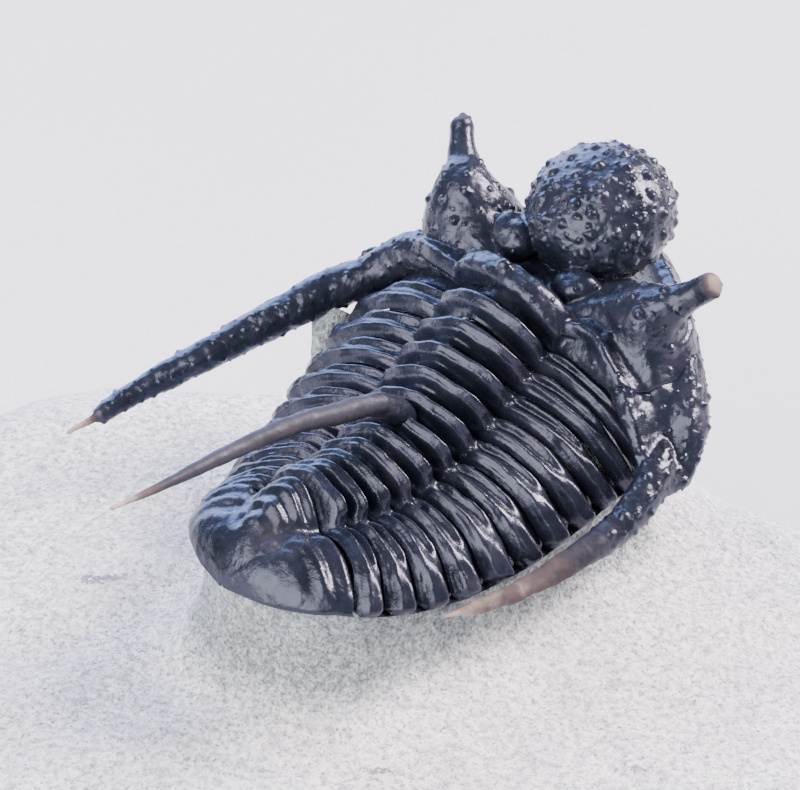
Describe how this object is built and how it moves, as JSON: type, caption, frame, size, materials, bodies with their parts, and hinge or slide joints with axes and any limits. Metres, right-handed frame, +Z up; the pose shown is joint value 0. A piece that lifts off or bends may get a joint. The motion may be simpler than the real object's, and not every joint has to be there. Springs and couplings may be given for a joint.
{
  "type": "fossil trilobite on matrix",
  "caption": "Black spiny trilobite with a warty globe-shaped glabella, horns and long spines, standing free on a domed block of pale limestone.",
  "frame": {"origin": "middle of the underside of the block of limestone", "axes": "+Z up, +Y towards the trilobite's head, +X towards the trilobite's right side"},
  "size_m": [0.0459, 0.0365, 0.0226],
  "materials": {
    "limestone": "air-abraded, grainy",
    "shell": "polished calcite, glossy"
  },
  "bodies": {
    "root": {"matrix": "limestone", "cranidium": "shell", "right_free_cheek": "shell", "left_free_cheek": "shell", "thoracic_segment_01": "shell", "thoracic_segment_02": "shell", "thoracic_segment_03": "shell", "thoracic_segment_04": "shell", "thoracic_segment_05": "shell", "thoracic_segment_06": "shell", "thoracic_segment_07": "shell", "thoracic_segment_08": "shell", "thoracic_segment_09": "shell", "thoracic_segment_10": "shell", "thoracic_segment_11": "shell", "pygidium": "shell"}
  },
  "joints": []
}
